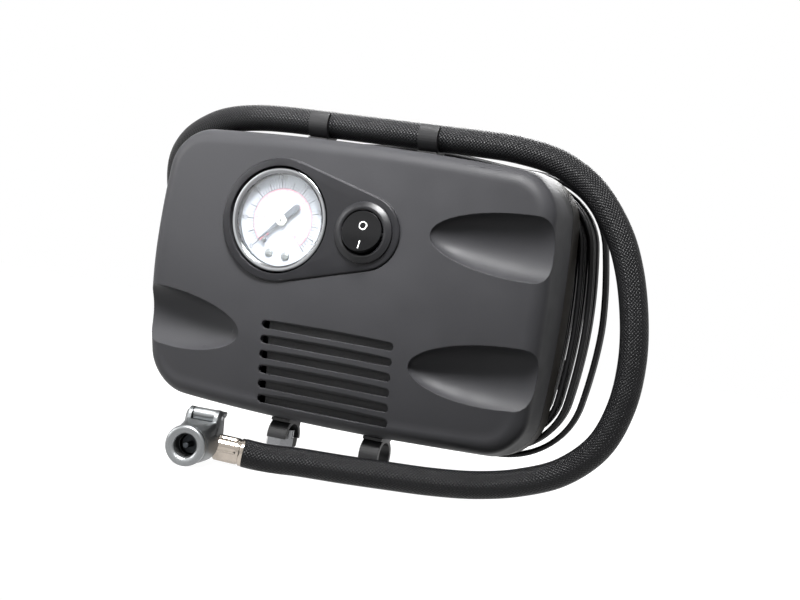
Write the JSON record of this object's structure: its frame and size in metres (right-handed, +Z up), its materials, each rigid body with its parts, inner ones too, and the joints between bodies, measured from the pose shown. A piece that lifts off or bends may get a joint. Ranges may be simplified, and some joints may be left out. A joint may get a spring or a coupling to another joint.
{
  "type": "portable tire inflator",
  "caption": "Compact 12 V tire inflator: flat two-shell case with dial gauge, rocker switch and geared piston pump, braided hose with lever chuck, lead wound on the back.",
  "frame": {"origin": "on the floor under the middle of the housing, at the centre of the bottom of its box without the hose and lead", "axes": "+X to the right along the width, +Y from the gauge face to the lead drum, +Z up"},
  "size_m": [0.2236, 0.1107, 0.1377],
  "materials": {
    "case_black": "moulded, fine texture, matt",
    "case_rear": "moulded, matt",
    "clip_black": "moulded, satin",
    "gauge_bright": "plated, polished",
    "cap_black": "moulded",
    "gauge_window": "clear polycarbonate, polished",
    "dial_white": "printed, matt",
    "pointer_grey": "painted, satin",
    "brass_works": "machined",
    "switch_black": "moulded, glossy",
    "zinc_plated": "zinc plated",
    "steel_bright": "ground",
    "motor_shell": "zinc plated sheet",
    "ferrite": "sintered, matt",
    "copper_rotor": "wound copper on laminations",
    "die_cast": "die cast, satin",
    "gear_nylon": "moulded nylon",
    "sealing_rubber": "moulded",
    "wire_red": "extruded",
    "tube_clear": "extruded",
    "hose_black": "extruded",
    "hose_braid": "braided yarn",
    "ferrule_nickel": "nickel plated",
    "chuck_zinc": "die cast zinc, tumbled",
    "lead_black": "extruded PVC",
    "plug_black": "moulded, satin",
    "fuse_glass": "glass with plated caps"
  },
  "bodies": {
    "housing": {"front_housing": "case_black", "rear_housing": "case_rear", "housing_screws": "zinc_plated", "hose_clip_top_left": "clip_black", "hose_clip_top_right": "clip_black", "hose_clip_bottom_left": "clip_black", "hose_clip_bottom_right": "clip_black", "gauge_case": "gauge_bright", "gauge_lens": "gauge_window", "gauge_dial": "dial_white", "gauge_dial_screws": "zinc_plated", "gauge_movement": "brass_works", "bourdon_tube": "brass_works", "gauge_socket": "brass_works", "switch_body": "switch_black", "switch_terminals": "brass_works", "motor_can": "motor_shell", "motor_end_cap": "cap_black", "motor_magnets": "ferrite", "motor_screws": "zinc_plated", "pump_frame": "die_cast", "crank_bushes": "brass_works", "piston": "die_cast", "piston_seal": "sealing_rubber", "pump_cylinder": "die_cast", "cylinder_head": "die_cast", "head_screws": "zinc_plated", "valve_spring": "steel_bright", "wiring": "wire_red", "gauge_tube": "tube_clear", "inner_hose": "hose_black", "hose_gland": "hose_black", "air_hose": "hose_braid", "hose_ferrule": "ferrule_nickel", "chuck_body": "chuck_zinc", "chuck_mouth_ring": "chuck_zinc", "chuck_seal": "sealing_rubber", "chuck_lever_pin": "steel_bright", "nozzle_adapter": "die_cast", "lead_strain_relief": "lead_black", "power_lead": "lead_black", "power_lead_tail": "lead_black", "plug_body": "plug_black", "plug_nose_ring": "plug_black", "plug_tip_spring": "steel_bright", "plug_side_contacts": "steel_bright", "plug_fuse": "fuse_glass"},
    "rocker": {"switch_rocker": "switch_black"},
    "needle": {"gauge_needle": "pointer_grey"},
    "sector": {"gauge_sector": "brass_works"},
    "crank": {"crank_gear": "gear_nylon", "crank_shaft": "steel_bright"},
    "rotor": {"motor_rotor": "copper_rotor", "motor_pinion": "steel_bright"},
    "rod": {"connecting_rod": "die_cast", "wrist_pin": "steel_bright"},
    "chuck_lever": {"chuck_lever": "chuck_zinc"},
    "chuck_depressor": {"chuck_depressor": "chuck_zinc"},
    "plug_tip": {"plug_tip": "steel_bright"},
    "valve_disc": {"valve_disc": "sealing_rubber"}
  },
  "joints": [
    {"name": "rocker_tilt", "type": "hinge", "parent": "housing", "child": "rocker", "pos_m": [0.0105, -0.0288, 0.092], "axis": [1, 0, 0], "range_deg": [0, 22]},
    {"name": "sector_turn", "type": "hinge", "parent": "housing", "child": "sector", "pos_m": [-0.0255, -0.0181, 0.0796], "axis": [0, -1, 0], "range_deg": [0, 40], "stiffness_Nm_per_rad": 0.0005},
    {"name": "needle_turn", "type": "hinge", "parent": "housing", "child": "needle", "pos_m": [-0.0255, -0.0181, 0.092], "axis": [0, 1, 0], "range_deg": [0, 270]},
    {"name": "crank_spin", "type": "hinge", "parent": "housing", "child": "crank", "pos_m": [0.01, -0.0043, 0.0678], "axis": [1, 0, 0], "continuous": true},
    {"name": "rotor_spin", "type": "hinge", "parent": "housing", "child": "rotor", "pos_m": [-0.02, -0.0043, 0.047], "axis": [1, 0, 0], "continuous": true},
    {"name": "rod_swing", "type": "hinge", "parent": "crank", "child": "rod", "pos_m": [0.023, -0.0043, 0.0638], "axis": [1, 0, 0], "continuous": true},
    {"name": "lever_flip", "type": "hinge", "parent": "housing", "child": "chuck_lever", "pos_m": [-0.0273, -0.057, 0.017], "axis": [0.9796, 0.2011, 0], "range_deg": [0, 90]},
    {"name": "depressor_slide", "type": "slide", "parent": "housing", "child": "chuck_depressor", "axis": [0.2011, -0.9796, 0], "range_m": [0, 0.0015], "stiffness_N_per_m": 200},
    {"name": "tip_slide", "type": "slide", "parent": "housing", "child": "plug_tip", "axis": [-1, 0, 0], "range_m": [0, 0.003], "stiffness_N_per_m": 500, "deforming": ["plug_tip_spring"]},
    {"name": "valve_slide", "type": "slide", "parent": "housing", "child": "valve_disc", "axis": [0, 0, -1], "range_m": [0, 0.001], "stiffness_N_per_m": 100, "deforming": ["valve_spring"]}
  ],
  "couplings": [
    {"joint": "needle_turn", "follows": "sector_turn", "ratio": 6.75},
    {"joint": "rotor_spin", "follows": "crank_spin", "ratio": -4.2},
    {"joint": "rod_swing", "follows": "crank_spin", "ratio": -1}
  ]
}
